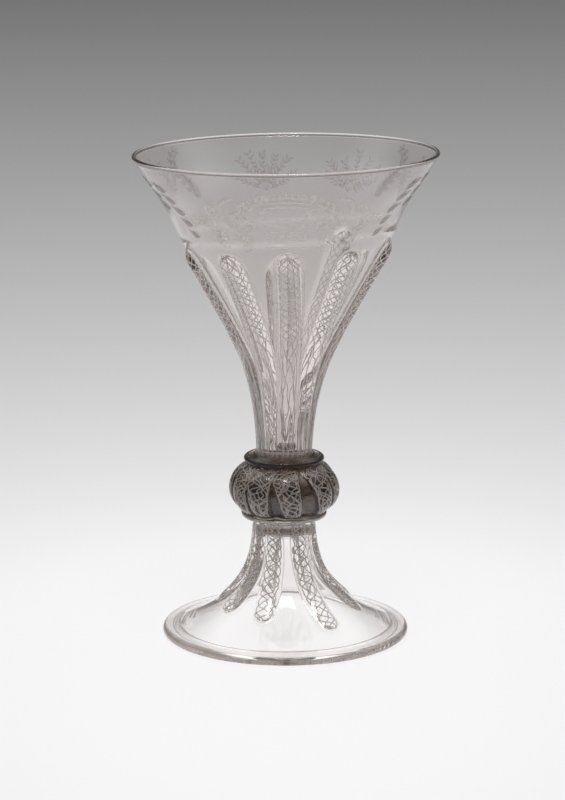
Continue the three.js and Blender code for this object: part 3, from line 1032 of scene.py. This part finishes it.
def plume(u, z, angle, curl, length, reach, side):  # a curling stem with leaves on both sides
    look = plumeLook
    share = np.linspace(0, 1, look["steps"] + 1)
    bearing = angle + side * curl * share ** look["curling"]
    step = length / look["steps"]
    us = u + running(step * np.cos(bearing[:-1]))
    zs = z + running(step * np.sin(bearing[:-1]))
    strokes = [stroke(us, zs, frieze["stem"] * look["stem"])]
    for i in range(1, look["steps"], 2):
        size = reach * lerp(1, look["tipLeaf"], share[i])
        for leafTurn, part, slimness, bend in look["leaves"]:
            turned, width = bearing[i] + side * leafTurn, frieze["leaf"] * size / slimness
            strokes.append(leafStroke(us[i], zs[i], turned, size * part, width, bend * side))
    return strokes


def flourish(side):  # scrolls with leaves beside the bars
    turned = lambda angle: angle if side > 0 else pi - angle
    middle = frieze["middle"]
    strokes = []
    for out, up, angle, curl, length, leaf in flourishLook["plumes"]:
        strokes += plume(side * out, middle + up, turned(angle), curl, length, leaf, side)
    for out, up, radius, start, turns, width in flourishLook["scrolls"]:
        strokes.append(scroll(side * out, middle + up, radius, turned(start), side * turns, width))
    return strokes


def petals(side):  # broad petals stacked along the slope of the wall
    look = petalsLook
    bearing = look["bearing"] if side > 0 else pi - look["bearing"]
    strokes = []
    for start, level, count in look["rows"]:
        for i in range(count):
            u, z = side * (start - look["stepRound"] * i), frieze["middle"] + level - look["stepDown"] * i
            for size in look["sizes"]:
                length = (look["length"] - look["shorter"] * i) * size
                width = frieze["petal"] * (1 - look["narrower"] * i) * size
                strokes.append(leafStroke(u, z, bearing, length, width, look["bend"]))
    return strokes


def spray(u, spread, rng):  # twigs fanning out from one root, with small leaves
    look = sprayLook
    strokes = []
    for lean in np.linspace(-1, 1, look["twigs"]):
        angle = pi / 2 - lean * spread * rng.uniform(*look["leanScatter"])
        length = rng.uniform(*look["length"]) * (1 - look["sideShorter"] * abs(lean))
        share = np.linspace(0, 1, look["steps"])
        us = u + share * length * cos(angle) + look["bend"] * lean * length * share ** 2
        zs = frieze["middle"] + look["root"] + share * length * sin(angle)
        strokes.append(stroke(us, zs, frieze["stem"]))
        for i in range(2, len(share)):
            for side in (-1, 1):
                size = rng.uniform(*look["leafSize"])
                turned = angle + side * rng.uniform(*look["leafTurn"])
                strokes.append(leafStroke(us[i], zs[i], turned, size, look["leafWidth"]))
    return strokes


def behind():
    rng = np.random.default_rng(frieze["seed"] + 1)
    strokes = []
    for degrees, spread in sprays:
        strokes += spray(radians(degrees) * frieze["radius"], spread, rng)
    for degrees, side in plumes:
        root = radians(degrees) * frieze["radius"]
        for up, lean, curl, length, leaf in plumeLook["behind"]:
            strokes += plume(root, frieze["middle"] + up, pi / 2 + side * lean, curl, length, leaf, side)
    return strokes


def friezePiece(name, strokes, material):
    edges, start = [], 0
    for points, width in strokes:
        edges += [(start + i, start + i + 1) for i in range(len(points) - 1)]
        start += len(points)
    flat = np.concatenate([points for points, width in strokes])
    widths = np.concatenate([width for points, width in strokes])
    turn, z = flat[:, 0] / frieze["radius"], flat[:, 1]
    points = raised(bowlOuter, z, bowlRise(turn, z) + frieze["lift"], turn)
    piece = newPiece(name, points, [], None, edges=edges)
    guide(piece, "FLOAT", "value", {"halfWidth": widths * mm})
    facing = facingOf(bowlOuter, z, turn)
    guide(piece, "FLOAT_VECTOR", "vector", {"outward": facing, "centre": placed(points)})
    grown(piece, engraver, {"Sides": frieze["sides"], "Flatness": frieze["flat"], "Material": material})
    print(name, len(piece.data.polygons), "faces")
    return finished(piece)


engraver = strokesTree()
friezePiece("bowl_engraving", bars() + flourish(1) + flourish(-1), engravedMatt)
# Petals at the sides and sprays behind, in the engraving with painted shade.
friezePiece("bowl_engraving_shaded", petals(1) + petals(-1) + behind(), engravedShaded)


# Stage, light and camera
studio = {
    "floorRings": (0.3, 1.0, 3.0, 9.0), "floorSides": 128, "floorGap": 0.1, "floorLight": 0.93,
    "floorReach": 0.6, "floorFall": (1.09, 1.11), "floorBlend": 0.12, "floorDark": 0.05,
    "frontReach": 0.5, "floorGlow": 0.8, "floorTint": (1.0, 0.993, 1.008), "floorRoughness": 0.9,
    "backSky": ((0.0, 0.2), (0.45, 0.2), (0.72, 1.42), (1.0, 1.42)),
    "frontSky": ((0.0, 0.22), (0.6, 0.22), (0.9, 0.9), (1.0, 1.42)), "warmth": 0.94, "dimBelow": 0.5,
    "frontFade": (0.1, -0.45),
    "lamp": 15.0, "lampColour": (1.0, 0.95, 0.92), "lampSpan": (0.917, 0.972), "lampEdge": 0.01,
    "lampHalf": 0.1, "lampBlur": 0.12, "lampFade": (0.0, -0.05),
}


def floorMaterial():
    s = studio
    material, tree, shader, output = newMaterial("paperFloor")
    x, y, z = separated(tree, objectPlace(tree))
    # Painted light: the floor's colour is brightest round the goblet and darkens with distance, more slowly
    # towards the front, a pool of light that fades into the dim room.
    back = maths(tree, "MAXIMUM", y, times(tree, y, -s["frontReach"]))
    away = maths(tree, "SQRT", maths(tree, "ADD", maths(tree, "POWER", back, 2.0), times(tree, x, x)))
    share = maths(tree, "DIVIDE", away, maths(tree, "ADD", away, s["floorReach"]))
    start, fall = s["floorFall"]
    level = maths(tree, "SUBTRACT", start, times(tree, share, fall))
    level = maths(tree, "SMOOTH_MIN", level, s["floorLight"], s["floorBlend"])
    level = maths(tree, "MAXIMUM", level, s["floorDark"])
    colour = vectorMaths(tree, "SCALE", s["floorTint"], level)
    values = {"Base Color": colour, "Roughness": s["floorRoughness"], "Specular IOR Level": 0.0}
    setInputs(tree, shader, values)
    # The glow is seen directly or in the glass, and lights nothing
    glow = addNode(tree, "ShaderNodeEmission", {"Color": colour})
    path = tree.nodes.new("ShaderNodeLightPath").outputs
    inGlass = maths(tree, "MAXIMUM", path["Is Glossy Ray"], path["Is Transmission Ray"])
    seen = maths(tree, "MAXIMUM", path["Is Camera Ray"], inGlass)
    blend = addNode(tree, "ShaderNodeMixShader", {
        0: times(tree, seen, s["floorGlow"]), 1: shader.outputs[0], 2: glow,
    })
    setInputs(tree, output, {"Surface": blend})
    return material


def floorMesh():
    turn = compass(studio["floorSides"])
    rows = [pole(0.0)] + [ring(radius, 0.0, turn) for radius in studio["floorRings"]]
    points, faces = loft(rows)
    mesh = bpy.data.meshes.new("floor")
    mesh.from_pydata(points.tolist(), [], [face[::-1] for face in faces])
    mesh.materials.append(floorMaterial())
    return mesh


floor = linked("floor", floorMesh())
floor.location.z = -studio["floorGap"] * mm


def skyRamp(tree, height, stops):  # the dim parts of the room are a little brown
    warm = lambda level: studio["warmth"] if level < studio["dimBelow"] else 1.0
    tint = lambda level: (level, level * warm(level), level * warm(level) ** 2, 1)
    return ramp(tree, height, [(place, tint(level)) for place, level in stops])


def ramped(tree, value, low, high):
    values = {"Value": value, "From Min": low, "From Max": high}
    return addNode(tree, "ShaderNodeMapRange", values, interpolation_type="SMOOTHSTEP")


def studioWorld():  # a broad light overhead in a dim room, and a small lamp high in front
    s = studio
    world = bpy.data.worlds.new("studio")
    world.use_nodes = True
    tree = world.node_tree
    x, y, z = separated(tree, tree.nodes.new("ShaderNodeTexCoord").outputs["Generated"])
    back, front = skyRamp(tree, z, s["backSky"]), skyRamp(tree, z, s["frontSky"])
    sky = mixed(tree, ramped(tree, y, *s["frontFade"]), back, front)
    low, high = s["lampSpan"]
    edge, half = s["lampEdge"], s["lampHalf"]
    within = times(tree, ramped(tree, z, low - edge, low), ramped(tree, z, high + edge, high))
    side = ramped(tree, maths(tree, "ABSOLUTE", x), half + s["lampBlur"], half)
    within = times(tree, within, side)
    within = times(tree, within, ramped(tree, y, *s["lampFade"]))
    lamp = tree.nodes.new("ShaderNodeRGB").outputs[0]
    lamp.default_value = [s["lamp"] * v for v in s["lampColour"]] + [1]
    setInputs(tree, tree.nodes["Background"], {"Color": mixed(tree, within, sky, lamp)})
    bpy.context.scene.world = world


studioWorld()

view = {
    "place": (-0.0012, -1.088, 0.3281), "pitch": 12.43, "lens": 136.3, "sensor": 36.0, "clip": (0.05, 40),
}
cameraData = bpy.data.cameras.new("camera")
cameraData.lens, cameraData.sensor_width = view["lens"], view["sensor"]
cameraData.clip_start, cameraData.clip_end = view["clip"]
camera = linked("camera", cameraData)
camera.location = view["place"]
camera.rotation_euler = (radians(90 - view["pitch"]), 0, 0)
bpy.context.scene.camera = camera

bounces = {"diffuse": 8, "transparent": 16, "glass": 64}  # light runs round inside the foot's rim
scene = bpy.context.scene
scene.view_settings.view_transform = "Standard"
scene.cycles.max_bounces = bounces["glass"]
scene.cycles.transmission_bounces = bounces["glass"]
scene.cycles.glossy_bounces = bounces["glass"]
scene.cycles.diffuse_bounces = bounces["diffuse"]
scene.cycles.transparent_max_bounces = bounces["transparent"]
scene.cycles.blur_glossy = 0
scene.cycles.sample_clamp_indirect = 3  # keeps the lamp from sparkling in the threads
print("stage made")
